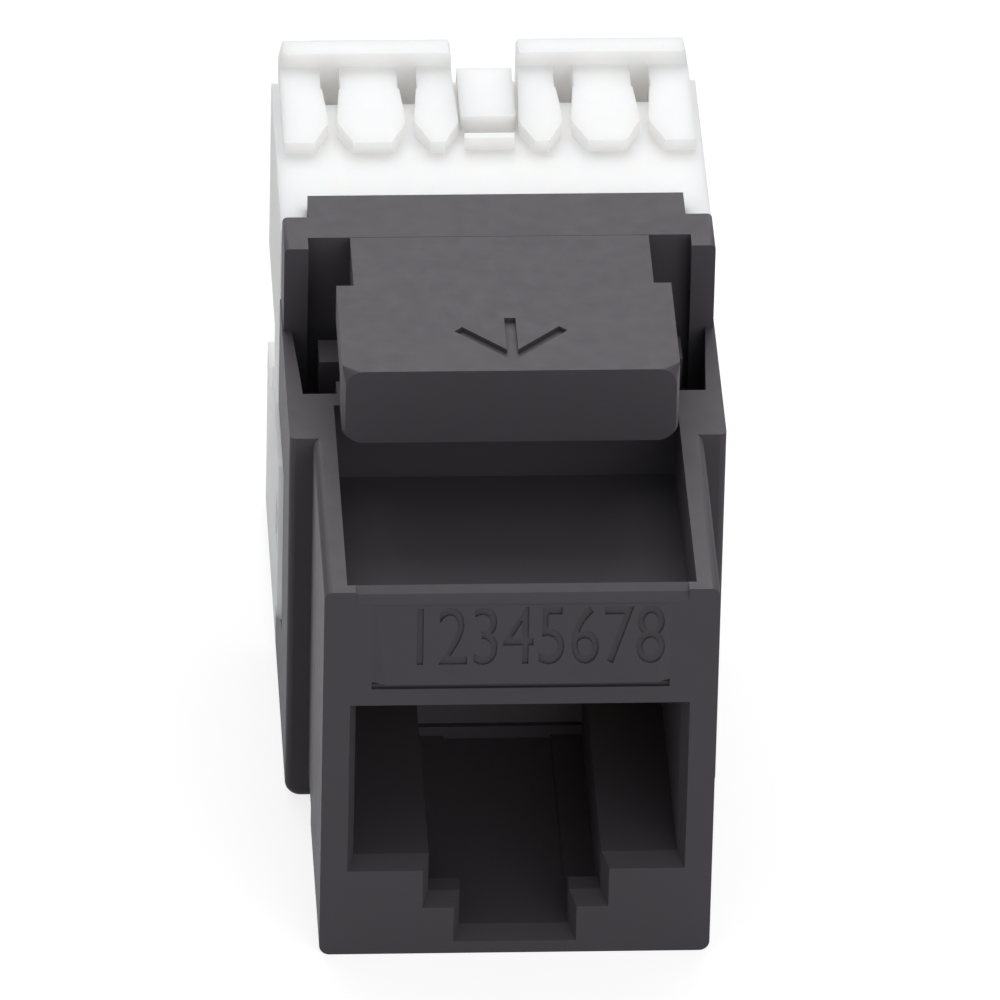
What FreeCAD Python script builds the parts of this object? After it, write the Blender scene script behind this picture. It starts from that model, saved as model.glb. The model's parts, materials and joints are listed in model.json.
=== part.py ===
import FreeCAD, Part
import math
import os
from FreeCAD import Vector

# Keystone jack for an eight-position modular plug, with a rear-facing wire block.
# Frame: X to the right, Y towards the cable, Z up from the flat base.
# Y stations are counted from the front face; the finished pieces are then moved so that
# the origin lies on the base, in the plane of the panel shoulder.
# All lengths in millimetres, angles in degrees.

# Front block, the part that fills the panel opening
FACE_WIDTH = 14.5
FACE_HEIGHT = 16.0
FACE_DEPTH = 10.5
FRONT_WALL = 0.5
RAIL_WIDTH = 0.85
LABEL_WIDTH = 10.94
LABEL_PROUD = 0.25
LABEL_FLOOR = FACE_HEIGHT - 3.9
WALL_ROUND = FRONT_WALL
LABEL_GROOVE = 0.2
WALL_SLOPE_WIDTH = 12.2
CATCH_LENGTH = 2.4
CATCH_HEIGHT = 1.2

# Wide body behind the panel, with the raised rear part and its collar
BODY_WIDTH = 16.25
BODY_END = 20.3
RISER_WIDTH = BODY_WIDTH - 0.09
RISER_START = 18.03
TOP_HEIGHT = 19.6
COLLAR_WIDTH = BODY_WIDTH - 2.1
COLLAR_END = BODY_END + 1.53

# Plug socket
PORT_TOP = FACE_HEIGHT - 4.95
PORT_FLOOR = 3.7
PORT_WIDTH = 12.5
TAB_WIDTH = 6.9
TAB_FLOOR = 2.03
KEY_WIDTH = 4.56
KEY_FLOOR = 0.52
LEAD_IN = 0.25
LEAD_IN_DEPTH = 0.8
PORT_DEPTH = 13.2
TAB_LEDGE = 1.6

# Latch and the well it bends into
LATCH_WIDTH = 12.5
LATCH_START = 9.38
LATCH_NOSE = 2.2
LATCH_NOSE_BOTTOM = FACE_HEIGHT + 0.3
LATCH_ROUND = 0.2 * (TOP_HEIGHT - LATCH_NOSE_BOTTOM)
NOSE_TAPER = 0.45
LATCH_THICKNESS = 1.5
NECK_WIDTH = 11.2
NECK_START = 15.42
NECK_END = RISER_START + 0.8
HINGE_GAP = 0.02
HINGE_DROP = 0.05
WELL_FLOOR = FACE_HEIGHT - 3.2
WELL_END = 12.8
DECK_END = WELL_END + 1.65

# Contact carrier and circuit board inside the body
BOARD_WIDTH = COLLAR_WIDTH - 1.75
BOARD_START = NECK_END + 0.87
BOARD_THICKNESS = 1.6
BOARD_FLOOR = 1.5
BOARD_TOP = TOP_HEIGHT - 1.5
CARRIER_WIDTH = BOARD_WIDTH
CARRIER_START = PORT_DEPTH + 0.1
CARRIER_TOP = WELL_FLOOR - 0.9
CARRIER_FLOOR = 1.4
CARRIER_POCKET = 9.2
TONGUE_WIDTH = 9.4
TONGUE_START = 2.3
TONGUE_FLOOR = PORT_TOP + 0.05
INNER_GAP = 0.1

# Contact springs
CONTACT_COUNT = 8
CONTACT_PITCH = 1.02
SPRING_WIDTH = 0.46
SPRING_THICKNESS = 0.3
SPRING_HEIGHT = PORT_TOP + 0.25
SPRING_LOW_ROW = SPRING_HEIGHT - 2.0
SPRING_BEND = 0.55
SPRING_FRONT = TONGUE_START + 1.0
SPRING_SLOPE = 14.0
SPRING_LENGTH = 11.0
GROOVE_WIDTH = SPRING_WIDTH + 0.1

# White wire block
BLOCK_WIDTH = BODY_WIDTH - 0.05
BLOCK_START = COLLAR_END + 0.02
BLOCK_END = COLLAR_END + 9.17
BLOCK_FLOOR = 0.3
BLOCK_TOP = TOP_HEIGHT - 0.6
PAD_TOP = BLOCK_TOP + 0.7
PAD_LENGTH = 5.2
PAD_BEVEL = 0.55
PAD_BEVEL_LENGTH = 1.25
PAD_DROP = 0.18
RIM_THICKNESS = 1.0
RIM_TOP = PAD_TOP + 0.6
RIM_FLOOR = RIM_TOP - 2.7
LOWER_RIM_TOP = BLOCK_FLOOR + 1.5
CHANNEL_START = BLOCK_END - 6.0
CHANNEL_FLOOR = 7.4
CHANNEL_TOP = 11.9
CENTRE_GAP = 2.5
LIP_START = BLOCK_END - PAD_LENGTH + 0.2
LIP_THICKNESS = 0.35
SADDLE_START = LIP_START + 1.45
SLOT_X = (0.184 * BLOCK_WIDTH, 0.365 * BLOCK_WIDTH)
SLOT_WIDTH = 0.6
SLOT_START = BLOCK_END - 5.4
SLOT_FLARE = 0.15
EXIT_START = BLOCK_END - 1.6
EXIT_WIDTH = 0.74
ARM_START = 15.35
ARM_FLOOR = 4.5
ARM_TOP = 11.3
ARM_THICKNESS = 0.95
ARM_PROUD = 0.15
TOOTH_LENGTH = 1.4

# Wire contacts in the block
FORK_WIDTH = 1.7
FORK_THICKNESS = 0.4
FORK_START = SLOT_START - 0.8
FORK_END = BLOCK_END - 2.0
FORK_SLIT = 0.3
FORK_LEVELS = ((CHANNEL_TOP + RIM_FLOOR) / 2, (LOWER_RIM_TOP + CHANNEL_FLOOR) / 2)
PIN_X = (SLOT_X[0], SLOT_X[1] - 0.65)
PIN_WIDTH = 0.5
PIN_START = BOARD_START + 0.3


def box(x0, x1, y0, y1, z0, z1):
    """A block between two opposite corners."""
    return Part.makeBox(x1 - x0, y1 - y0, z1 - z0, Vector(x0, y0, z0))


def centred(width, y0, y1, z0, z1):
    """A block centred on the X = 0 plane."""
    return box(-width / 2, width / 2, y0, y1, z0, z1)


def both_sides(shape):
    """The shape fused with its mirror image in the X = 0 plane."""
    return shape.fuse(shape.mirror(Vector(0, 0, 0), Vector(1, 0, 0)))


def plan_prism(points, z0, z1):
    """A prism raised from an outline given as X, Y pairs."""
    outline = [Vector(x, y, z0) for x, y in points]
    face = Part.Face(Part.makePolygon(outline + outline[:1]))
    return face.extrude(Vector(0, 0, z1 - z0))


def side_prism(points, x0, x1):
    """A prism drawn sideways from an outline given as Y, Z pairs."""
    outline = [Vector(x0, y, z) for y, z in points]
    face = Part.Face(Part.makePolygon(outline + outline[:1]))
    return face.extrude(Vector(x1 - x0, 0, 0))


def front_prism(points, y0, y1):
    """A prism drawn rearward from an outline given as X, Z pairs."""
    outline = [Vector(x, y0, z) for x, z in points]
    face = Part.Face(Part.makePolygon(outline + outline[:1]))
    return face.extrude(Vector(0, y1 - y0, 0))


def loft(outlines, y_stations):
    """A ruled solid through outlines given as X, Z pairs, one at each Y station."""
    wires = []
    for outline, y in zip(outlines, y_stations):
        corners = [Vector(x, y, z) for x, z in outline]
        wires.append(Part.makePolygon(corners + corners[:1]))
    return Part.makeLoft(wires, True, True)


def edges_along(shape, axis, test):
    """Straight edges parallel to an axis whose middle passes the test."""
    found = []
    for edge in shape.Edges:
        run = edge.Vertexes[-1].Point - edge.Vertexes[0].Point
        if run.Length < 1e-6:
            continue
        if abs(abs(run.normalize().dot(axis)) - 1) < 1e-6 and test(edge.CenterOfMass):
            found.append(edge)
    return found


def port_outline(shrink):
    """The stepped socket outline as X, Z pairs, drawn in by an even margin."""
    half = PORT_WIDTH / 2 - shrink
    tab = TAB_WIDTH / 2 - shrink
    key = KEY_WIDTH / 2 - shrink
    right = [
        (half, PORT_TOP - shrink),
        (half, PORT_FLOOR + shrink),
        (tab, PORT_FLOOR + shrink),
        (tab, TAB_FLOOR + shrink),
        (key, TAB_FLOOR + shrink),
        (key, KEY_FLOOR + shrink),
    ]
    left = [(-x, z) for x, z in reversed(right)]
    return right + left


def port_cavity():
    """Socket with a tapered mouth and the wider tab space behind the front ledge."""
    mouth = loft([port_outline(0.0), port_outline(LEAD_IN)], [0.0, LEAD_IN_DEPTH])
    ahead = front_prism(port_outline(0.0), -1.0, 0.0)
    inner = front_prism(port_outline(LEAD_IN), LEAD_IN_DEPTH, PORT_DEPTH)
    tab_space = centred(TAB_WIDTH - 2 * LEAD_IN, TAB_LEDGE, PORT_DEPTH, 0.9, PORT_FLOOR + 1.0)
    return mouth.fuse([ahead, inner, tab_space])


def housing():
    """Black one-piece body with socket, latch well and rear collar."""
    front = centred(FACE_WIDTH, 0, FACE_DEPTH + 1.0, 0, FACE_HEIGHT)
    base_edges = edges_along(front, Vector(0, 1, 0), lambda p: p.z < 1)
    front = front.makeFillet(0.4, base_edges)
    rail_edges = edges_along(front, Vector(0, 1, 0), lambda p: p.z > FACE_HEIGHT - 0.1)
    front = front.makeFillet(0.3, rail_edges)
    body = centred(BODY_WIDTH, FACE_DEPTH, BODY_END, 0, FACE_HEIGHT)
    body = body.makeFillet(0.6, edges_along(body, Vector(0, 1, 0), lambda p: p.z < 1))
    shoulder = edges_along(body, Vector(0, 0, 1), lambda p: p.y < FACE_DEPTH + 0.1)
    body = body.makeFillet(0.25, shoulder)
    riser = centred(RISER_WIDTH, RISER_START, BODY_END, FACE_HEIGHT - 1.0, TOP_HEIGHT)
    riser = riser.makeFillet(0.2, edges_along(riser, Vector(0, 1, 0), lambda p: p.z > TOP_HEIGHT - 0.1))
    collar = centred(COLLAR_WIDTH, RISER_START, COLLAR_END, 0, TOP_HEIGHT)
    shape = front.fuse([body, riser, collar, label_field()])

    well_half = FACE_WIDTH / 2 - RAIL_WIDTH
    above = TOP_HEIGHT + 1.0
    inner = LATCH_WIDTH / 2
    outer = BODY_WIDTH / 2
    well = box(-well_half, well_half, FRONT_WALL, WELL_END, WELL_FLOOR, above)
    rear_well = centred(2 * well_half, DECK_END, NECK_END, WELL_FLOOR, above)
    pocket = plan_prism([(inner, WELL_END + 0.8), (outer - 0.6, WELL_END + 0.8),
                         (outer - 0.52, WELL_END + 2.4),
                         (outer - 0.35, RISER_START), (inner, RISER_START)], WELL_FLOOR, above)
    notch = box(inner, RISER_WIDTH / 2 - 0.9, RISER_START - 1.0, NECK_END, WELL_FLOOR, above)
    tongue_slot = centred(TONGUE_WIDTH + 2 * INNER_GAP, TONGUE_START - INNER_GAP, PORT_DEPTH + 1.0,
                          PORT_TOP - 0.4, CARRIER_TOP)
    carrier_space = centred(CARRIER_WIDTH + INNER_GAP, PORT_DEPTH, BOARD_START,
                            CARRIER_FLOOR - INNER_GAP, CARRIER_TOP)
    board_space = centred(BOARD_WIDTH + INNER_GAP, BOARD_START, COLLAR_END + 1.0,
                          BOARD_FLOOR - INNER_GAP, BOARD_TOP + INNER_GAP)
    panel_catch = box(PORT_WIDTH / 2 - 1.95, outer, FACE_DEPTH - CATCH_LENGTH, FACE_DEPTH,
                      -1.0, CATCH_HEIGHT)
    arm_floor = outer + ARM_PROUD - ARM_THICKNESS - 0.05
    arm_space = box(arm_floor, outer + 1.0, ARM_START - 0.15, BODY_END + 1.0,
                    ARM_FLOOR - 0.1, ARM_TOP + 0.1)
    wall_slope = side_prism([(-0.5, FACE_HEIGHT + 0.5), (-0.5, FACE_HEIGHT - WALL_ROUND),
                             (0.0, FACE_HEIGHT - WALL_ROUND), (0.12, FACE_HEIGHT - 0.15),
                             (WALL_ROUND, FACE_HEIGHT), (WALL_ROUND, FACE_HEIGHT + 0.5)],
                            -WALL_SLOPE_WIDTH / 2, WALL_SLOPE_WIDTH / 2)
    label_groove = centred(LABEL_WIDTH, -1.0, LABEL_GROOVE, LABEL_FLOOR - LABEL_GROOVE, LABEL_FLOOR)
    shape = shape.cut([wall_slope, label_groove, well, rear_well, both_sides(pocket),
                       both_sides(notch), port_cavity(), tongue_slot, carrier_space, board_space,
                       both_sides(panel_catch), both_sides(arm_space)])
    post = box(inner - 0.3, inner + 0.55, NECK_START + 0.55, NECK_START + 2.1,
               WELL_FLOOR - 0.5, FACE_HEIGHT - 0.1)
    tooth_end = tooth_start() + TOOTH_LENGTH
    tooth = plan_prism([(arm_floor - 0.2, tooth_start()), (outer - 0.1, tooth_start()),
                        (outer, tooth_start() + 0.3), (arm_floor + 0.1, tooth_end),
                        (arm_floor - 0.2, tooth_end)], arm_middle() - 0.9, arm_middle() + 0.9)
    return shape.fuse([both_sides(post), both_sides(tooth)]).removeSplitter()


def label_field():
    """Raised field for markings: proud along its lower edge, flush at its sides and top."""
    half = LABEL_WIDTH / 2
    top = FACE_HEIGHT - 0.6
    lower = [Vector(-half, 0.1, LABEL_FLOOR), Vector(half, 0.1, LABEL_FLOOR), Vector(half, 0, LABEL_FLOOR),
             Vector(half - 0.5, -LABEL_PROUD, LABEL_FLOOR), Vector(0.5 - half, -LABEL_PROUD, LABEL_FLOOR),
             Vector(-half, 0, LABEL_FLOOR)]
    upper = [Vector(-half, 0.1, top), Vector(half, 0.1, top), Vector(half, 0, top),
             Vector(half - 0.1, -0.01, top), Vector(0.1 - half, -0.01, top), Vector(-half, 0, top)]
    wires = [Part.makePolygon(corners + corners[:1]) for corners in (lower, upper)]
    return Part.makeLoft(wires, True, True)


def arm_middle():
    """Height of the middle of the side snap arms."""
    return (ARM_FLOOR + ARM_TOP) / 2


def tooth_start():
    """Front of the snap tooth that stands in the arm's window."""
    return ARM_START + 1.3


def latch_arm():
    """Flexing top latch: deep nose in front, thin plate, narrower neck at the root."""
    root = NECK_END - HINGE_GAP
    underside = TOP_HEIGHT - LATCH_THICKNESS
    half = LATCH_WIDTH / 2
    full = nose_outline(half, LATCH_NOSE_BOTTOM, TOP_HEIGHT, 0.05)
    face = nose_outline(half - 0.12, LATCH_NOSE_BOTTOM + 0.2, TOP_HEIGHT, LATCH_ROUND)
    nose = loft([face, full], [LATCH_START, LATCH_START + NOSE_TAPER])
    rear = front_prism(full, LATCH_START + NOSE_TAPER, LATCH_START + LATCH_NOSE)
    plate = centred(LATCH_WIDTH, LATCH_START + NOSE_TAPER + 0.1, NECK_START, underside, TOP_HEIGHT)
    web = centred(LATCH_WIDTH - 2.0, LATCH_START + 1.0, LATCH_START + LATCH_NOSE + 0.3,
                  LATCH_NOSE_BOTTOM + 0.6, TOP_HEIGHT - 0.5)
    pivot = TOP_HEIGHT - 2 * HINGE_DROP
    neck = side_prism([(NECK_START - 0.5, underside), (root - 0.5, underside), (root, pivot),
                       (root, TOP_HEIGHT), (NECK_START - 0.5, TOP_HEIGHT)],
                      -NECK_WIDTH / 2, NECK_WIDTH / 2)
    return nose.fuse([rear, plate, web, neck]).removeSplitter()


def nose_outline(half, z0, z1, top_round):
    """Outline of the latch nose as X, Z pairs, with rounded lower and upper corners."""
    quarter = []
    for radius, centre_z, first in ((LATCH_ROUND, z0 + LATCH_ROUND, -90), (top_round, z1 - top_round, 0)):
        for step in range(7):
            angle = math.radians(first + 15 * step)
            quarter.append((half - radius + radius * math.cos(angle), centre_z + radius * math.sin(angle)))
    return quarter + [(-x, z) for x, z in reversed(quarter)]


def contact_x(index):
    """Sideways place of one plug contact."""
    return (index - (CONTACT_COUNT - 1) / 2) * CONTACT_PITCH


def contact_carrier():
    """Black insert that guides the contact springs over and behind the plug."""
    base = centred(CARRIER_WIDTH, CARRIER_START, BOARD_START, CARRIER_FLOOR, CARRIER_TOP)
    tongue = centred(TONGUE_WIDTH, TONGUE_START, CARRIER_START + 0.5, TONGUE_FLOOR, CARRIER_TOP)
    ceiling = SPRING_HEIGHT + SPRING_THICKNESS / 2
    rear_pocket = centred(CARRIER_POCKET, CARRIER_START + 2.2, BOARD_START + 1.0,
                          SPRING_LOW_ROW - 1.5, ceiling)
    cuts = [rear_pocket]
    for index in range(CONTACT_COUNT):
        x = contact_x(index)
        left = x - GROOVE_WIDTH / 2
        right = x + GROOVE_WIDTH / 2
        cuts.append(box(left, right, TONGUE_START - 1.0, CARRIER_START + 2.7, TONGUE_FLOOR - 0.5, ceiling))
        cuts.append(box(left, right, CARRIER_START - 1.0, CARRIER_START + 1.3, SPRING_HEIGHT - 4.4, ceiling))
    return base.fuse(tongue).cut(cuts).removeSplitter()


def contact_spring(index):
    """Flat gold wire: tail in the board, run over the plug, bend, sloping contact face."""
    rear = BOARD_START + BOARD_THICKNESS - 0.1
    if index % 2:
        path = [(rear, SPRING_LOW_ROW), (BOARD_START - 0.9, SPRING_LOW_ROW),
                (BOARD_START - 3.1, SPRING_HEIGHT)]
    else:
        path = [(rear, SPRING_HEIGHT)]
    steps = 10
    turn = 180.0 - SPRING_SLOPE
    for step in range(steps + 1):
        angle = math.radians(turn * step / steps)
        y = SPRING_FRONT - SPRING_BEND * math.sin(angle)
        z = SPRING_HEIGHT - SPRING_BEND + SPRING_BEND * math.cos(angle)
        path.append((y, z))
    slope = math.radians(SPRING_SLOPE)
    end_y, end_z = path[-1]
    path.append((end_y + SPRING_LENGTH * math.cos(slope), end_z - SPRING_LENGTH * math.sin(slope)))
    x = contact_x(index)
    return side_prism(band(path, SPRING_THICKNESS), x - SPRING_WIDTH / 2, x + SPRING_WIDTH / 2)


def band(path, thickness):
    """Outline of a strip of even thickness that follows a bent path."""
    left = []
    right = []
    for place, (y, z) in enumerate(path):
        before = path[max(place - 1, 0)]
        after = path[min(place + 1, len(path) - 1)]
        arms = []
        for start, end in ((before, (y, z)), ((y, z), after)):
            run = Vector(end[0] - start[0], end[1] - start[1], 0)
            if run.Length > 1e-9:
                arms.append(run.normalize())
        mean = (arms[0] + arms[-1]).normalize()
        reach = thickness / 2 / mean.dot(arms[0])
        left.append((y - mean.y * reach, z + mean.x * reach))
        right.append((y + mean.y * reach, z - mean.x * reach))
    return left + right[::-1]


def circuit_board():
    """Upright board with one hole for every spring tail and wire contact pin."""
    rear = BOARD_START + BOARD_THICKNESS
    board = centred(BOARD_WIDTH, BOARD_START, rear, BOARD_FLOOR, BOARD_TOP)
    holes = []
    for index in range(CONTACT_COUNT):
        level = SPRING_LOW_ROW if index % 2 else SPRING_HEIGHT
        holes.append((contact_x(index), level, 0.36))
    for x in PIN_X:
        for level in FORK_LEVELS:
            holes.append((x, level, 0.42))
            holes.append((-x, level, 0.42))
    drills = []
    for x, z, radius in holes:
        start = Vector(x, BOARD_START - 1.0, z)
        drills.append(Part.makeCylinder(radius, BOARD_THICKNESS + 2.0, start, Vector(0, 1, 0)))
    return board.cut(drills)


def idc_block():
    """White rear block: two banks of wire slots, cable channel, raised pads and end rims."""
    half = BLOCK_WIDTH / 2
    main = centred(BLOCK_WIDTH, BLOCK_START, BLOCK_END, BLOCK_FLOOR, BLOCK_TOP)
    cheek = box(COLLAR_WIDTH / 2 + 0.03, half, BODY_END + 0.05, BLOCK_START + 1.0, BLOCK_FLOOR, BLOCK_TOP)
    spigot = centred(BOARD_WIDTH, BOARD_START + BOARD_THICKNESS, BLOCK_START + 1.0, BOARD_FLOOR, BOARD_TOP)
    rim_end = BLOCK_END + RIM_THICKNESS
    gap = CENTRE_GAP / 2
    upper_rim = front_prism([(gap, RIM_FLOOR), (half - 0.3, RIM_FLOOR), (half - 0.3, RIM_TOP - 0.7),
                             (half - 0.45, RIM_TOP), (gap + 0.1, RIM_TOP), (gap, RIM_TOP - 0.2)],
                            BLOCK_END, rim_end)
    lower_rim = box(gap, half - 0.3, BLOCK_END, rim_end, BLOCK_FLOOR, LOWER_RIM_TOP)
    shape = main.fuse([spigot, both_sides(cheek), both_sides(snap_arm()), both_sides(upper_rim),
                       both_sides(lower_rim)])
    edge = EXIT_WIDTH / 2
    pads = [
        pad(SLOT_X[1] + edge, half - 0.29, 0.19, 0.0),
        pad(SLOT_X[0] + edge, SLOT_X[1] - edge, 0.19, 0.19),
        pad(gap, SLOT_X[0] - edge, 0.1, 0.19),
    ]
    pad_start = BLOCK_END - PAD_LENGTH
    ramp = side_prism([(pad_start - 0.5, PAD_TOP + 0.5), (pad_start - 0.5, PAD_TOP - PAD_DROP),
                       (pad_start, PAD_TOP - PAD_DROP), (pad_start + 2.4, PAD_TOP),
                       (pad_start + 2.4, PAD_TOP + 0.5)], -half, half)
    lip = centred(CENTRE_GAP - 0.6, LIP_START, LIP_START + LIP_THICKNESS, BLOCK_TOP - 0.5, BLOCK_TOP + 0.55)
    saddle = centred(CENTRE_GAP - 0.4, SADDLE_START, BLOCK_END, BLOCK_TOP - 0.5, PAD_TOP - 0.08)
    shape = shape.fuse([both_sides(finger) for finger in pads]).cut(ramp).fuse([lip, saddle])

    cuts = [
        centred(BLOCK_WIDTH + 2, CHANNEL_START, rim_end + 1, CHANNEL_FLOOR, CHANNEL_TOP),
        centred(CENTRE_GAP - 0.7, LIP_START + LIP_THICKNESS, SADDLE_START, BLOCK_TOP - 1.8, PAD_TOP),
    ]
    for x in SLOT_X:
        cuts.append(both_sides(wire_slot(x, CHANNEL_TOP - 0.1, RIM_FLOOR)))
        cuts.append(both_sides(wire_slot(x, LOWER_RIM_TOP, CHANNEL_FLOOR + 0.1)))
        cuts.append(both_sides(box(x - edge, x + edge, EXIT_START, BLOCK_END, RIM_FLOOR - 1.1, RIM_TOP)))
        cuts.append(both_sides(box(x - edge, x + edge, EXIT_START, BLOCK_END, -1, LOWER_RIM_TOP + 0.5)))
        for level in FORK_LEVELS:
            floor = level - FORK_THICKNESS / 2
            cuts.append(both_sides(box(x - 0.95, x + 0.95, BOARD_START, FORK_END + 0.3,
                                       floor, floor + FORK_THICKNESS + 0.1)))
    return shape.cut(cuts).removeSplitter()


def snap_arm():
    """Side arm that runs forward beside the housing, with a window for the snap tooth."""
    outer = BODY_WIDTH / 2 + ARM_PROUD
    inner = outer - ARM_THICKNESS
    arm = plan_prism([(inner, ARM_START), (outer - 0.5, ARM_START), (outer, ARM_START + 0.7),
                      (outer, BLOCK_START + 1.0), (outer - 0.15, BLOCK_START + 1.4),
                      (inner, BLOCK_START + 1.4)], ARM_FLOOR, ARM_TOP)
    window = box(inner - 1.0, outer + 1.0, tooth_start() - 0.1, tooth_start() + TOOTH_LENGTH + 0.1,
                 arm_middle() - 1.0, arm_middle() + 1.0)
    return arm.cut(window)


def pad(x0, x1, grow_inner, grow_outer):
    """Raised finger on top of the block, wider towards the front and bevelled at its nose."""
    inner = x0 - grow_inner
    outer = x1 + grow_outer
    start = BLOCK_END - PAD_LENGTH
    widest = start + PAD_BEVEL_LENGTH + 0.5
    outer_bevel = PAD_BEVEL if grow_outer else 0.0
    outline = [
        (x0, BLOCK_END), (x0 - grow_inner / 4, EXIT_START), (inner, widest),
        (inner, start + PAD_BEVEL_LENGTH),
        (inner + PAD_BEVEL, start), (outer - outer_bevel, start), (outer, start + PAD_BEVEL_LENGTH),
        (outer, widest), (x1 + grow_outer / 4, EXIT_START), (x1, BLOCK_END),
    ]
    if not grow_outer:
        outline = outline[:6] + outline[7:8] + outline[9:]
    return plan_prism(outline, BLOCK_TOP - 0.5, PAD_TOP)


def wire_slot(x, z0, z1):
    """Slot for one wire, open to the rear, with a flared mouth."""
    half = SLOT_WIDTH / 2
    wide = half + SLOT_FLARE
    end = BLOCK_END + RIM_THICKNESS + 0.1
    flare = BLOCK_END - 1.2
    return plan_prism([(x - half, SLOT_START), (x + half, SLOT_START), (x + half, flare), (x + wide, end),
                       (x - wide, end), (x - half, flare)], z0, z1)


def idc_contact(place, side, level):
    """Forked wire contact: slit tines at the wire, stem, stepped foot and board pin."""
    x = SLOT_X[place]
    pin = PIN_X[place]
    half = FORK_WIDTH / 2
    slit = FORK_SLIT / 2
    foot = BLOCK_START + 0.25
    outline = [
        (pin - PIN_WIDTH / 2, PIN_START), (pin + PIN_WIDTH / 2, PIN_START), (pin + PIN_WIDTH / 2, foot),
        (x + 0.4, foot), (x + 0.4, FORK_START), (x + half, FORK_START), (x + half, FORK_END),
        (x + slit + 0.3, FORK_END), (x + slit, FORK_END - 0.7), (x + slit, FORK_START + 1.2),
        (x - slit, FORK_START + 1.2), (x - slit, FORK_END - 0.7), (x - slit - 0.3, FORK_END),
        (x - half, FORK_END), (x - half, FORK_START), (x - 0.4, FORK_START), (x - 0.4, foot + 0.9),
        (pin - PIN_WIDTH / 2, foot + 0.9),
    ]
    floor = level - FORK_THICKNESS / 2
    return plan_prism([(side * px, py) for px, py in outline], floor, floor + FORK_THICKNESS)


parts = {
    "housing": housing(),
    "latch_arm": latch_arm(),
    "contact_carrier": contact_carrier(),
    "circuit_board": circuit_board(),
    "idc_block": idc_block(),
}
for index in range(CONTACT_COUNT):
    parts["contact_spring_%d" % (index + 1)] = contact_spring(index)
places = [(1, -1), (0, -1), (0, 1), (1, 1)]
for row, level in enumerate(FORK_LEVELS):
    for column, (place, side) in enumerate(places):
        parts["idc_contact_%d" % (4 * row + column + 1)] = idc_contact(place, side, level)

os.makedirs("parts", exist_ok=True)
for name, shape in parts.items():
    shape.translate(Vector(0, -FACE_DEPTH, 0))
    shape.exportStep("parts/%s.step" % name)
    print(name, "solids", len(shape.Solids), "valid", shape.isValid(), "volume %.2f" % shape.Volume)
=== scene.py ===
"""Looks, floor, lamps and camera for a keystone jack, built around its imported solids."""

from __future__ import annotations

import json
import logging
import math
from dataclasses import dataclass
from enum import Enum
from typing import Any, ClassVar

import bpy
from mathutils import Matrix, Vector

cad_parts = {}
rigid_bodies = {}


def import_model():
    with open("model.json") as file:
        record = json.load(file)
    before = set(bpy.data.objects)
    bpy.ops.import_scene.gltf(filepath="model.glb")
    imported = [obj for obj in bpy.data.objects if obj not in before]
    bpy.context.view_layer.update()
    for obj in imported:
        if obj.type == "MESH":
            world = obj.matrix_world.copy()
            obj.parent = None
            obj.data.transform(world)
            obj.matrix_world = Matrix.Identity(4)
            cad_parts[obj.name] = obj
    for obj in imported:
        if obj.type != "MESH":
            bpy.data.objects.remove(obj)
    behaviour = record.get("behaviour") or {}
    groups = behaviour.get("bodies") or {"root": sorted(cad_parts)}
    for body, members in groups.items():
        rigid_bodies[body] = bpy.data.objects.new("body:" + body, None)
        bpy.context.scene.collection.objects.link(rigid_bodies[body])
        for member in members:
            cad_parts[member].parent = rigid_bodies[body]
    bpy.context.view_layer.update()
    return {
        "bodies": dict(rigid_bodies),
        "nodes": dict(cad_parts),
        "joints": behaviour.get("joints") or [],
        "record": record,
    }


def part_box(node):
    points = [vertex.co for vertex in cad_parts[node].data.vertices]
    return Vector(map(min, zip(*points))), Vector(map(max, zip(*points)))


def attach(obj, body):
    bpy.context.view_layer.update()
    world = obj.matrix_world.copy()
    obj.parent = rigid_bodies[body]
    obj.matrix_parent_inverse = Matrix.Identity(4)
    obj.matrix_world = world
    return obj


LOG = logging.getLogger("keystone_jack")
MM = 0.001
CONTACTS = range(1, 9)

Colour = tuple[float, float, float]
Place = tuple[float, float, float]


class Body(Enum):
    """The rigid bodies of the jack."""

    JACK = "body"
    LATCH = "latch"


class Slot(Enum):
    """Material slots of the record."""

    BLACK = "black_plastic"
    CARRIER = "carrier_plastic"
    WHITE = "white_plastic"
    GOLD = "gold_plate"
    TIN = "tin_plate"
    BOARD = "board"


def linear(colour: Colour) -> tuple[float, float, float, float]:
    """Turns a screen colour into the light values that shaders take.

    Args:
        colour: Red, green and blue as seen on a screen, 0 to 255.

    Returns:
        Red, green, blue and an opacity of one, as linear light.
    """
    values = []
    for channel in colour:
        share = channel / 255.0
        values.append(share / 12.92 if share <= 0.04045 else ((share + 0.055) / 1.055) ** 2.4)
    return values[0], values[1], values[2], 1.0


def light_share(tree: bpy.types.NodeTree, on_things: float, seen: float) -> bpy.types.NodeSocket:
    """Gives one strength to light that falls on things and another to rays that see the surface.

    Args:
        tree: Node tree to add to.
        on_things: Strength for light that falls on things.
        seen: Strength for rays from the eye, from a mirror or through glass.

    Returns:
        The strength that each ray meets.
    """
    path = tree.nodes.new("ShaderNodeLightPath")
    seen_by = path.outputs["Is Camera Ray"]
    for kind in ("Is Glossy Ray", "Is Transmission Ray"):
        either = tree.nodes.new("ShaderNodeMath")
        either.operation = "MAXIMUM"
        tree.links.new(seen_by, either.inputs[0])
        tree.links.new(path.outputs[kind], either.inputs[1])
        seen_by = either.outputs[0]
    strength = tree.nodes.new("ShaderNodeMapRange")
    strength.inputs["To Min"].default_value = on_things
    strength.inputs["To Max"].default_value = seen
    tree.links.new(seen_by, strength.inputs["Value"])
    return strength.outputs["Result"]


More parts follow.
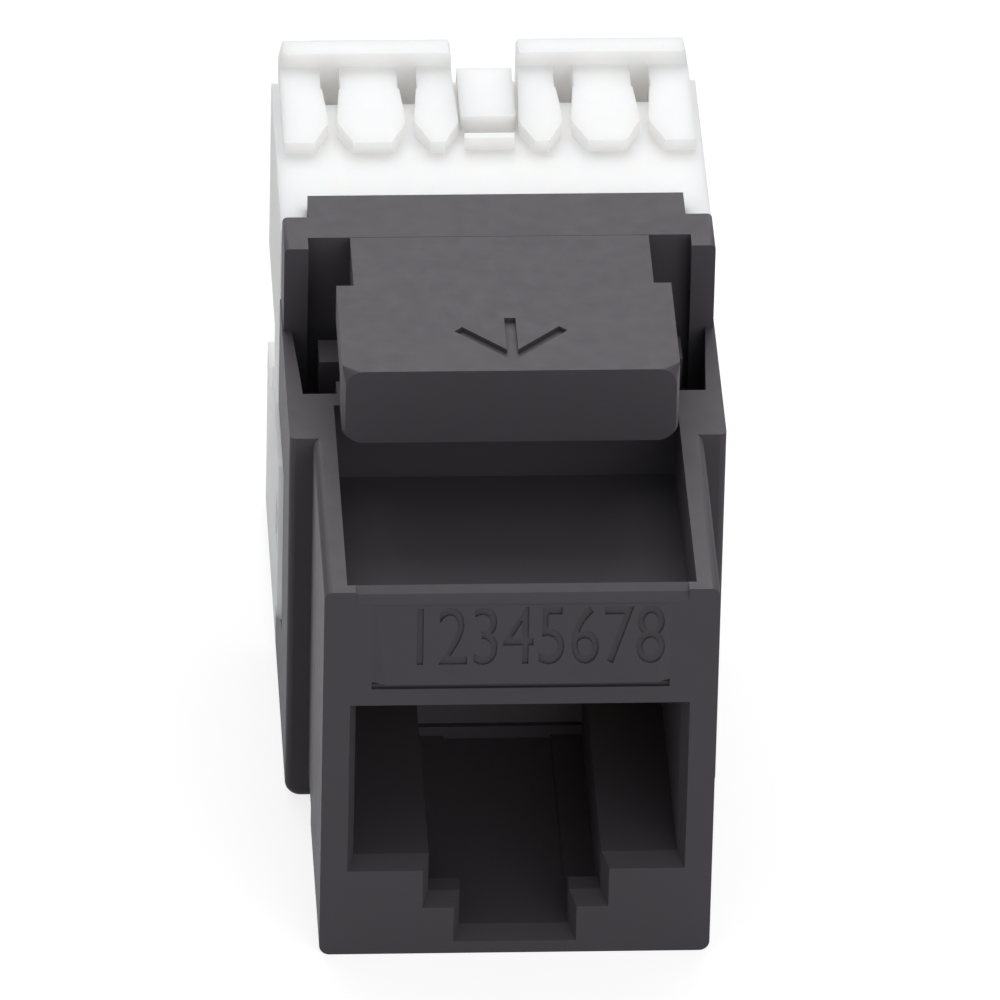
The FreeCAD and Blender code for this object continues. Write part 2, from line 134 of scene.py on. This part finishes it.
class Graph:
    """A thin wrapper that adds and joins shader nodes of one material.

    Attributes:
        FINER_LAYERS: Weight of each finer layer of a noise.
        MIDDLE: Lower and upper end of the middle of a pattern.
    """

    FINER_LAYERS: ClassVar[float] = 0.55
    MIDDLE: ClassVar[tuple[float, float]] = (0.3, 0.7)

    def __init__(self, name: str) -> None:
        """Starts an empty material.

        Args:
            name: Name of the material.
        """
        self.material = bpy.data.materials.new(name)
        self.material.use_nodes = True
        self.tree = self.material.node_tree
        self.tree.nodes.clear()
        self.output = self.add("OutputMaterial")

    def add(self, kind: str, **values: Any) -> bpy.types.Node:
        """Adds a node and sets its properties.

        Args:
            kind: Shader node type without its prefix.
            values: Property names and their values.

        Returns:
            The new node.
        """
        node = self.tree.nodes.new("ShaderNode" + kind)
        for key, value in values.items():
            setattr(node, key, value)
        return node

    def join(self, start: bpy.types.NodeSocket, end: bpy.types.NodeSocket) -> None:
        """Links an output socket to an input socket."""
        self.tree.links.new(start, end)

    def finish(self, shader: bpy.types.NodeSocket) -> bpy.types.Material:
        """Links the last shader to the surface.

        Args:
            shader: Output of the last shader.

        Returns:
            The finished material.
        """
        self.join(shader, self.output.inputs["Surface"])
        return self.material

    def place(self) -> bpy.types.NodeSocket:
        """Gives the object's own coordinates, in metres."""
        return self.add("TexCoord").outputs["Object"]

    def noise(self, per_mm: float, detail: float = 3.0) -> bpy.types.NodeSocket:
        """Adds a cloudy pattern.

        Args:
            per_mm: How many waves it has in a millimetre.
            detail: Number of finer layers.

        Returns:
            The pattern's value, from 0 to 1.
        """
        node = self.add("TexNoise")
        node.inputs["Scale"].default_value = per_mm / MM
        node.inputs["Detail"].default_value = detail
        node.inputs["Roughness"].default_value = self.FINER_LAYERS
        self.join(self.place(), node.inputs["Vector"])
        return node.outputs["Fac"]

    def spread(self, value: bpy.types.NodeSocket, low: float, high: float) -> bpy.types.NodeSocket:
        """Maps the middle of a pattern onto a range.

        Args:
            value: Pattern from 0 to 1.
            low: Result at and below the middle's lower end.
            high: Result at and above the middle's upper end.

        Returns:
            The mapped value.
        """
        node = self.add("MapRange")
        node.inputs["From Min"].default_value, node.inputs["From Max"].default_value = self.MIDDLE
        node.inputs["To Min"].default_value = low
        node.inputs["To Max"].default_value = high
        self.join(value, node.inputs["Value"])
        return node.outputs["Result"]

    def blend(self, share: bpy.types.NodeSocket, first: Colour, second: Colour) -> bpy.types.NodeSocket:
        """Mixes two colours by a pattern.

        Args:
            share: Pattern from 0 to 1.
            first: Colour where the pattern is 0.
            second: Colour where the pattern is 1.

        Returns:
            The mixed colour.
        """
        node = self.add("Mix", data_type="RGBA")
        colours = [socket for socket in node.inputs if socket.type == "RGBA"]
        colours[0].default_value = linear(first)
        colours[1].default_value = linear(second)
        self.join(share, node.inputs["Factor"])
        return [socket for socket in node.outputs if socket.type == "RGBA"][0]

    def bump(self, height: bpy.types.NodeSocket, depth_mm: float, strength: float) -> bpy.types.NodeSocket:
        """Turns a pattern into small bumps.

        Args:
            height: Pattern from 0 to 1.
            depth_mm: Height of the bumps in millimetres.
            strength: How much of them shows, 0 to 1.

        Returns:
            The bent surface normal.
        """
        node = self.add("Bump")
        node.inputs["Strength"].default_value = strength
        node.inputs["Distance"].default_value = depth_mm * MM
        self.join(height, node.inputs["Height"])
        return node.outputs["Normal"]


@dataclass(frozen=True)
class Finish:
    """A surface finish that can make its own material."""

    name: str

    def material(self) -> bpy.types.Material:
        """Makes the material."""
        raise NotImplementedError


@dataclass(frozen=True)
class MouldedPlastic(Finish):
    """Injection-moulded plastic with faint flow clouds and a fine spark-eroded grain.

    Attributes:
        colour: Screen colour.
        cloud: Screen colour inside the flow clouds.
        smooth: Roughness of the glossiest spots.
        rough: Roughness of the dullest spots.
        mirror: How strongly it reflects, where 0.5 is what its refraction gives.
        grain_mm: Depth of the grain.
        grain_per_mm: Waves of the grain in a millimetre.
        grain_strength: How much of the grain shows, 0 to 1.
        cloud_per_mm: Waves of the flow clouds in a millimetre.
        gloss_per_mm: Waves of the uneven gloss in a millimetre.
        refraction: How strongly it bends light.
        depth_light: Share of the light that spreads inside the plastic.
        depth_mm: How far that light spreads.
        depth_tint: How far its red, green and blue go, as shares of depth_mm.
    """

    colour: Colour
    cloud: Colour
    smooth: float
    rough: float
    mirror: float
    grain_mm: float = 0.006
    grain_per_mm: float = 9.0
    grain_strength: float = 0.35
    cloud_per_mm: float = 0.35
    gloss_per_mm: float = 1.6
    refraction: float = 1.5
    depth_light: float = 0.0
    depth_mm: float = 0.0
    depth_tint: Colour = (1.0, 0.9, 0.8)

    def material(self) -> bpy.types.Material:
        """Makes the material.

        Returns:
            A principled material with cloud colour, uneven gloss and grain.
        """
        graph = Graph(self.name)
        shader = graph.add("BsdfPrincipled")
        clouds = graph.noise(self.cloud_per_mm, detail=4.0)
        graph.join(graph.blend(clouds, self.colour, self.cloud), shader.inputs["Base Color"])
        gloss = graph.noise(self.gloss_per_mm, detail=5.0)
        graph.join(graph.spread(gloss, self.smooth, self.rough), shader.inputs["Roughness"])
        grain = graph.noise(self.grain_per_mm, detail=2.0)
        bumps = graph.bump(grain, self.grain_mm, self.grain_strength)
        graph.join(bumps, shader.inputs["Normal"])
        shader.inputs["IOR"].default_value = self.refraction
        shader.inputs["Specular IOR Level"].default_value = self.mirror
        if self.depth_light:
            shader.inputs["Subsurface Weight"].default_value = self.depth_light
            shader.inputs["Subsurface Radius"].default_value = self.depth_tint
            shader.inputs["Subsurface Scale"].default_value = self.depth_mm * MM
        return graph.finish(shader.outputs["BSDF"])


@dataclass(frozen=True)
class PlatedMetal(Finish):
    """Thin plated sheet metal with drawing lines along its length.

    Attributes:
        colour: Screen colour.
        worn: Screen colour of the duller patches.
        smooth: Roughness of the brightest lines.
        rough: Roughness of the dullest lines.
        worn_per_mm: Waves of the duller patches in a millimetre.
        lines_per_mm: Waves across the lines in a millimetre.
        lines_detail: Number of finer layers of the lines.
        lines_mm: Height of the lines.
        lines_strength: How much of them shows, 0 to 1.
        stretch: Scale of their pattern on X, Y and Z, so that they run along Y.
    """

    colour: Colour
    worn: Colour
    smooth: float
    rough: float
    worn_per_mm: float = 0.8
    lines_per_mm: float = 14.0
    lines_detail: float = 3.0
    lines_mm: float = 0.003
    lines_strength: float = 0.3
    stretch: Place = (1.0, 0.08, 1.0)

    def material(self) -> bpy.types.Material:
        """Makes the material.

        Returns:
            A metallic material with fine lines along Y.
        """
        graph = Graph(self.name)
        shader = graph.add("BsdfPrincipled")
        shader.inputs["Metallic"].default_value = 1.0
        stretch = graph.add("Mapping")
        stretch.inputs["Scale"].default_value = self.stretch
        lines = graph.add("TexNoise")
        lines.inputs["Scale"].default_value = self.lines_per_mm / MM
        lines.inputs["Detail"].default_value = self.lines_detail
        graph.join(graph.place(), stretch.inputs["Vector"])
        graph.join(stretch.outputs["Vector"], lines.inputs["Vector"])
        pattern = lines.outputs["Fac"]
        patches = graph.noise(self.worn_per_mm)
        graph.join(graph.blend(patches, self.colour, self.worn), shader.inputs["Base Color"])
        graph.join(graph.spread(pattern, self.smooth, self.rough), shader.inputs["Roughness"])
        bumps = graph.bump(pattern, self.lines_mm, self.lines_strength)
        graph.join(bumps, shader.inputs["Normal"])
        return graph.finish(shader.outputs["BSDF"])


@dataclass(frozen=True)
class SolderResist(Finish):
    """Green lacquered board with the glass weave just showing.

    Attributes:
        colour: Screen colour.
        weave: Screen colour of the threads that show through.
        smooth: Roughness of the glossiest spots.
        rough: Roughness of the dullest spots.
        gloss_per_mm: Waves of the uneven gloss in a millimetre.
        thread_mm: Scale of the weave.
        weave_mm: Height of the weave.
        weave_strength: How much of it shows, 0 to 1.
    """

    colour: Colour
    weave: Colour
    smooth: float
    rough: float
    gloss_per_mm: float = 2.0
    thread_mm: float = 0.5
    weave_mm: float = 0.004
    weave_strength: float = 0.2

    def material(self) -> bpy.types.Material:
        """Makes the material.

        Returns:
            A glossy green material with a fine woven pattern.
        """
        graph = Graph(self.name)
        shader = graph.add("BsdfPrincipled")
        threads = graph.add("TexBrick")
        threads.inputs["Scale"].default_value = 1.0 / (self.thread_mm * MM)
        threads.inputs["Color1"].default_value = linear(self.colour)
        threads.inputs["Color2"].default_value = linear(self.weave)
        threads.inputs["Mortar"].default_value = linear(self.colour)
        graph.join(graph.place(), threads.inputs["Vector"])
        graph.join(threads.outputs["Color"], shader.inputs["Base Color"])
        gloss = graph.noise(self.gloss_per_mm)
        graph.join(graph.spread(gloss, self.smooth, self.rough), shader.inputs["Roughness"])
        bumps = graph.bump(threads.outputs["Fac"], self.weave_mm, self.weave_strength)
        graph.join(bumps, shader.inputs["Normal"])
        return graph.finish(shader.outputs["BSDF"])


@dataclass(frozen=True)
class PaperSweep(Finish):
    """Studio paper that shows pure white to the eye and keeps soft shadows.

    Attributes:
        colour: Screen colour.
        fibre: Screen colour of the fibres.
        fibre_per_mm: Waves of the fibres in a millimetre.
        rough: Roughness of the matt surface.
        glow: Strength that lifts the lit paper to white where it is seen.
    """

    colour: Colour = (170, 170, 171)
    fibre: Colour = (167, 167, 168)
    fibre_per_mm: float = 0.4
    rough: float = 0.6
    glow: float = 0.77

    def material(self) -> bpy.types.Material:
        """Makes the material.

        Returns:
            A matt material with a white glow for the rays that see it, and none on things.
        """
        graph = Graph(self.name)
        matt = graph.add("BsdfDiffuse")
        matt.inputs["Roughness"].default_value = self.rough
        fibres = graph.noise(self.fibre_per_mm)
        graph.join(graph.blend(fibres, self.colour, self.fibre), matt.inputs["Color"])
        glow = graph.add("Emission")
        graph.join(light_share(graph.tree, 0.0, self.glow), glow.inputs["Strength"])
        both = graph.add("AddShader")
        graph.join(matt.outputs["BSDF"], both.inputs[0])
        graph.join(glow.outputs["Emission"], both.inputs[1])
        return graph.finish(both.outputs["Shader"])


FINISHES: dict[Slot, Finish] = {
    Slot.BLACK: MouldedPlastic(Slot.BLACK.value, colour=(77, 74, 79), cloud=(74, 71, 76),
                               smooth=0.52, rough=0.6, mirror=0.2),
    Slot.CARRIER: MouldedPlastic(Slot.CARRIER.value, colour=(88, 84, 88), cloud=(84, 80, 84),
                                 smooth=0.55, rough=0.65, mirror=0.2),
    Slot.WHITE: MouldedPlastic(Slot.WHITE.value, colour=(250, 249, 247), cloud=(248, 247, 244),
                               smooth=0.4, rough=0.5, mirror=0.3, grain_mm=0.003,
                               depth_light=1.0, depth_mm=2.0),
    Slot.GOLD: PlatedMetal(Slot.GOLD.value, colour=(230, 190, 110), worn=(205, 165, 90),
                           smooth=0.18, rough=0.34),
    Slot.TIN: PlatedMetal(Slot.TIN.value, colour=(205, 205, 200), worn=(180, 180, 178),
                          smooth=0.22, rough=0.4),
    Slot.BOARD: SolderResist(Slot.BOARD.value, colour=(24, 92, 52), weave=(34, 112, 64),
                             smooth=0.2, rough=0.34),
}


@dataclass
class CadNode:
    """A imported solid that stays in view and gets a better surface.

    Attributes:
        node: Name of the solid.
        slot: Its material slot.
        soften_mm: Width of its soft edges; at 0 they stay sharp.
        join_mm: Corners nearer to each other than this become one.
        edge_steps: Number of faces round a soft edge.
        edge_angle_deg: Edges that turn by more than this are softened.
        mark_angle_deg: Edges that turn by more than this stay crisp in the shading.
        flat_weight: How much large flat faces lead the shading, 1 to 100.
    """

    node: str
    slot: Slot
    soften_mm: float = 0.0
    join_mm: float = 0.0005
    edge_steps: int = 2
    edge_angle_deg: float = 35.0
    mark_angle_deg: float = 50.0
    flat_weight: int = 80

    def dress(self, frame: dict[str, Any], material: bpy.types.Material) -> None:
        """Gives the solid its material and soft edges.

        Args:
            material: The finish to show.
        """
        solid = frame["nodes"][self.node]
        solid.data.materials.clear()
        solid.data.materials.append(material)
        for polygon in solid.data.polygons:
            polygon.material_index = 0
        if self.soften_mm:
            weld = solid.modifiers.new("join_corners", "WELD")
            weld.merge_threshold = self.join_mm * MM
            edge = solid.modifiers.new("soft_edges", "BEVEL")
            edge.width = self.soften_mm * MM
            edge.segments = self.edge_steps
            edge.limit_method = "ANGLE"
            edge.angle_limit = math.radians(self.edge_angle_deg)
            edge.harden_normals = True
            edge.use_clamp_overlap = True
        LOG.info("dressed %s", self.node)

    def even_shading(self, frame: dict[str, Any]) -> None:
        """Keeps flat faces flat beside the soft edges and engraved marks.
        """
        if self.soften_mm:
            solid = frame["nodes"][self.node]
            crisp = solid.modifiers.new("crisp_marks", "EDGE_SPLIT")
            crisp.split_angle = math.radians(self.mark_angle_deg)
            shading = solid.modifiers.new("even_shading", "WEIGHTED_NORMAL")
            shading.weight = self.flat_weight
            shading.keep_sharp = True


@dataclass
class Engraving:
    """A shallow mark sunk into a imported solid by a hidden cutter.

    Attributes:
        name: Name of the mark.
        node: Solid that it is sunk into.
        body: Body that the solid belongs to.
        depth_mm: How deep it is.
        place_mm: Where it lies: to the right, back and up from the solid's anchor.
    """

    name: str
    node: str
    body: Body
    depth_mm: float
    place_mm: Place

    def outline(self) -> bpy.types.Mesh:
        """Makes the cutter's mesh in its own flat frame, in millimetres."""
        raise NotImplementedError

    def turning(self) -> Matrix:
        """Gives the turn and stretch that fit the cutter to its face; none by default."""
        return Matrix.Identity(4)

    def anchor(self) -> Vector:
        """Gives the middle of the lower front edge of the solid's box, in millimetres."""
        low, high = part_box(self.node)
        return Vector(((low.x + high.x) / 2, low.y, low.z)) / MM

    def cut(self, frame: dict[str, Any]) -> None:
        """Sinks the mark into the solid.
        """
        mesh = self.outline()
        placing = Matrix.Translation(self.anchor() + Vector(self.place_mm)) @ self.turning()
        mesh.transform(Matrix.Scale(MM, 4) @ placing)
        cutter = bpy.data.objects.new(self.name, mesh)
        cutter.hide_render = True
        bpy.context.scene.collection.objects.link(cutter)
        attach(cutter, self.body.value)
        sink = frame["nodes"][self.node].modifiers.new(self.name, "BOOLEAN")
        sink.object = cutter
        sink.operation = "DIFFERENCE"
        sink.solver = "EXACT"
        LOG.info("engraved %s into %s", self.name, self.node)


@dataclass
class ContactNumbers(Engraving):
    """The numbers of the eight contacts, along the sloping label field.

    Attributes:
        size_mm: Size of the type.
        squeeze: Width of the digits as a share of their usual width.
        slope_deg: How far the field leans back.
        curve_steps: Number of parts of each curve in a digit.
    """

    name: str = "contact_numbers"
    node: str = "housing"
    body: Body = Body.JACK
    depth_mm: float = 0.12
    place_mm: Place = (0.5, 0.12, 13.97)
    size_mm: float = 3.45
    squeeze: float = 0.7
    slope_deg: float = 4.2
    curve_steps: int = 4

    def outline(self) -> bpy.types.Mesh:
        """Makes the row of digits as closed solids.

        Returns:
            The digits round the origin, their faces towards +Z.
        """
        curve = bpy.data.curves.new(self.name, "FONT")
        curve.body = "".join(str(number) for number in CONTACTS)
        curve.size = self.size_mm
        curve.align_x = "CENTER"
        curve.align_y = "CENTER"
        curve.extrude = self.depth_mm
        curve.resolution_u = self.curve_steps
        writing = bpy.data.objects.new(self.name + "_writing", curve)
        bpy.context.scene.collection.objects.link(writing)
        graph = bpy.context.evaluated_depsgraph_get()
        mesh = bpy.data.meshes.new_from_object(writing.evaluated_get(graph), depsgraph=graph)
        bpy.data.objects.remove(writing)
        return mesh

    def turning(self) -> Matrix:
        """Stands the narrowed digits up along the sloping field.

        Returns:
            The turn and squeeze.
        """
        stand = Matrix.Rotation(math.radians(90.0 - self.slope_deg), 4, "X")
        return stand @ Matrix.Diagonal((self.squeeze, 1.0, 1.0, 1.0))


@dataclass
class LabelGroove(Engraving):
    """The straight groove that underlines the label field.

    Attributes:
        length_mm: Length of the groove.
        height_mm: Its width, up the field.
    """

    name: str = "label_groove"
    node: str = "housing"
    body: Body = Body.JACK
    depth_mm: float = 0.15
    place_mm: Place = (0.0, 0.25, 11.93)
    length_mm: float = 10.94
    height_mm: float = 0.34

    def outline(self) -> bpy.types.Mesh:
        """Makes the groove as a block.

        Returns:
            A block round the origin.
        """
        mesh = bpy.data.meshes.new(self.name)
        points = [(x, y, z) for x in (-0.5, 0.5) for y in (-1.0, 1.0) for z in (-0.5, 0.5)]
        faces = [(0, 1, 3, 2), (4, 6, 7, 5), (0, 4, 5, 1), (2, 3, 7, 6), (0, 2, 6, 4), (1, 5, 7, 3)]
        mesh.from_pydata(points, [], faces)
        return mesh

    def turning(self) -> Matrix:
        """Stretches the block to the groove's size."""
        return Matrix.Diagonal((self.length_mm, self.depth_mm, self.height_mm, 1.0))


@dataclass
class FittingArrow(Engraving):
    """An arrow on the latch that points the way the jack goes into its panel.

    Attributes:
        place_mm: Where its tip lies, measured as for every mark.
        reach_mm: How far each wing reaches, sideways and back.
        shaft_mm: Length of the shaft.
        stroke_mm: Width of the lines.
    """

    name: str = "fitting_arrow"
    node: str = "latch_arm"
    body: Body = Body.LATCH
    depth_mm: float = 0.18
    place_mm: Place = (0.1, 0.67, 3.3)
    reach_mm: float = 2.1
    shaft_mm: float = 3.0
    stroke_mm: float = 0.42

    def outline(self) -> bpy.types.Mesh:
        """Makes the arrow as a flat prism.

        Returns:
            The arrow with its tip at the origin.
        """
        half = self.stroke_mm / 2
        across = self.stroke_mm / math.sqrt(2.0)
        fork = half + 2 * across
        right = [(self.reach_mm, self.reach_mm), (self.reach_mm - across, self.reach_mm + across),
                 (half, fork), (half, self.shaft_mm)]
        ring = [(0.0, 0.0)] + right + [(-x, y) for x, y in reversed(right)]
        count = len(ring)
        points = [(x, y, z) for z in (-self.depth_mm, self.depth_mm) for x, y in ring]
        faces = [tuple(reversed(range(count))), tuple(range(count, 2 * count))]
        faces += [(i, (i + 1) % count, count + (i + 1) % count, count + i) for i in range(count)]
        mesh = bpy.data.meshes.new(self.name)
        mesh.from_pydata(points, [], faces)
        return mesh


@dataclass(frozen=True)
class Lamp:
    """A square studio lamp that looks at the jack.

    Attributes:
        name: Name of the lamp.
        place_m: Its position in metres.
        side_m: Its side in metres.
        power_w: Its power in watts.
        aim_m: The point that it looks at, in metres.
    """

    name: str
    place_m: Place
    side_m: float
    power_w: float
    aim_m: Place = (0.0, 0.0, 0.01)

    def hang(self) -> None:
        """Adds the lamp to the scene."""
        light = bpy.data.lights.new(self.name, "AREA")
        light.size = self.side_m
        light.energy = self.power_w
        lamp = bpy.data.objects.new(self.name, light)
        lamp.location = self.place_m
        aim = Vector(self.aim_m) - Vector(self.place_m)
        lamp.rotation_euler = aim.to_track_quat("-Z", "Y").to_euler()
        bpy.context.scene.collection.objects.link(lamp)


@dataclass
class Studio:
    """Floor, sky, lamps and camera round the jack.

    Attributes:
        azimuth_deg: How far the camera stands to the right of the front.
        elevation_deg: How far it looks down.
        roll_deg: How far it leans.
        distance_mm: From the camera to the point that it looks at.
        target_mm: That point.
        lens_mm: Focal length.
        sensor_mm: Width of the film.
        near_m: What is nearer to the camera than this isn't seen.
        floor_half_m: From the middle of the floor to its front and side edges.
        floor_back_m: From the middle to where the floor starts to rise.
        curve_m: Radius of the rise.
        curve_steps: Number of faces round the rise.
        wall_top_m: Height of the back wall.
        sky_light: Strength of the sky's light on things.
        sky_seen: Strength of the sky where it is seen.
        paper: Finish of the floor.
        lamps: The broad lamp high behind the jack and the weak one in front.
    """

    azimuth_deg: float = -3.55
    elevation_deg: float = 32.71
    roll_deg: float = 1.32
    distance_mm: float = 562.27
    target_mm: Place = (-0.17, 1.5, 12.24)
    lens_mm: float = 542.2
    sensor_mm: float = 36.0
    near_m: float = 0.01
    floor_half_m: float = 1.5
    floor_back_m: float = 0.9
    curve_m: float = 0.3
    curve_steps: int = 12
    wall_top_m: float = 1.6
    sky_light: float = 0.5
    sky_seen: float = 1.0
    paper: PaperSweep = PaperSweep("studio_paper")
    lamps: tuple[Lamp, ...] = (
        Lamp("key", place_m=(0.0, 0.65, 0.72), side_m=1.0, power_w=7.9),
        Lamp("fill", place_m=(0.28, -0.72, 0.3), side_m=0.5, power_w=1.5),
    )

    def build(self) -> None:
        """Builds everything round the object."""
        self.floor()
        self.sky()
        for lamp in self.lamps:
            lamp.hang()
        self.camera()

    def floor(self) -> None:
        """Lays a pale floor that curves up far behind the jack."""
        profile = [(-self.floor_half_m, 0.0), (self.floor_back_m, 0.0)]
        for step in range(1, self.curve_steps + 1):
            angle = math.radians(90 * step / self.curve_steps)
            profile.append((self.floor_back_m + self.curve_m * math.sin(angle),
                            self.curve_m * (1 - math.cos(angle))))
        profile.append((self.floor_back_m + self.curve_m, self.wall_top_m))
        points = [(side * self.floor_half_m, y, z) for y, z in profile for side in (-1, 1)]
        faces = [(2 * i, 2 * i + 1, 2 * i + 3, 2 * i + 2) for i in range(len(profile) - 1)]
        mesh = bpy.data.meshes.new("studio_floor")
        mesh.from_pydata(points, [], faces)
        mesh.materials.append(self.paper.material())
        for polygon in mesh.polygons:
            polygon.use_smooth = True
        floor = bpy.data.objects.new("studio_floor", mesh)
        bpy.context.scene.collection.objects.link(floor)

    def sky(self) -> None:
        """Surrounds the scene with plain soft light."""
        world = bpy.data.worlds.new("studio_air")
        world.use_nodes = True
        back = world.node_tree.nodes["Background"]
        back.inputs["Color"].default_value = (1.0, 1.0, 1.0, 1.0)
        strength = light_share(world.node_tree, self.sky_light, self.sky_seen)
        world.node_tree.links.new(strength, back.inputs["Strength"])
        bpy.context.scene.world = world

    def camera(self) -> None:
        """Sets the camera at the front, above and a little to the left."""
        angles = (self.azimuth_deg, self.elevation_deg, self.roll_deg)
        turn, rise, tilt = (math.radians(angle) for angle in angles)
        back = Vector((math.sin(turn) * math.cos(rise), -math.cos(turn) * math.cos(rise), math.sin(rise)))
        right = (-back).cross(Vector((0, 0, 1))).normalized()
        up = right.cross(-back)
        across = math.cos(tilt) * right + math.sin(tilt) * up
        upward = -math.sin(tilt) * right + math.cos(tilt) * up
        place = (Vector(self.target_mm) + back * self.distance_mm) * MM
        data = bpy.data.cameras.new("studio_camera")
        data.lens = self.lens_mm
        data.sensor_width = self.sensor_mm
        data.clip_start = self.near_m
        camera = bpy.data.objects.new("studio_camera", data)
        turned = Matrix((across, upward, back)).transposed().to_4x4()
        camera.matrix_world = Matrix.Translation(place) @ turned
        bpy.context.scene.collection.objects.link(camera)
        bpy.context.scene.camera = camera
        bpy.context.scene.view_settings.view_transform = "Standard"


def jack_nodes() -> list[CadNode]:
    """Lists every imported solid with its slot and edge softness.

    Returns:
        The housing, latch, carrier, board and wire block, then each spring and its wire contact.
    """
    nodes = [
        CadNode("housing", Slot.BLACK, soften_mm=0.07),
        CadNode("latch_arm", Slot.BLACK, soften_mm=0.07),
        CadNode("contact_carrier", Slot.CARRIER),
        CadNode("circuit_board", Slot.BOARD),
        CadNode("idc_block", Slot.WHITE, soften_mm=0.06),
    ]
    for number in CONTACTS:
        nodes.append(CadNode(f"contact_spring_{number}", Slot.GOLD))
        nodes.append(CadNode(f"idc_contact_{number}", Slot.TIN))
    return nodes


def main() -> None:
    """Loads the frame, dresses every piece and sets up the studio."""
    logging.basicConfig(level=logging.INFO, format="%(name)s: %(message)s")
    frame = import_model()
    materials = {slot: finish.material() for slot, finish in FINISHES.items()}
    nodes = jack_nodes()
    for node in nodes:
        node.dress(frame, materials[node.slot])
    for mark in (ContactNumbers(), LabelGroove(), FittingArrow()):
        mark.cut(frame)
    for node in nodes:
        node.even_shading(frame)
    Studio().build()


if __name__ == "__main__":
    main()
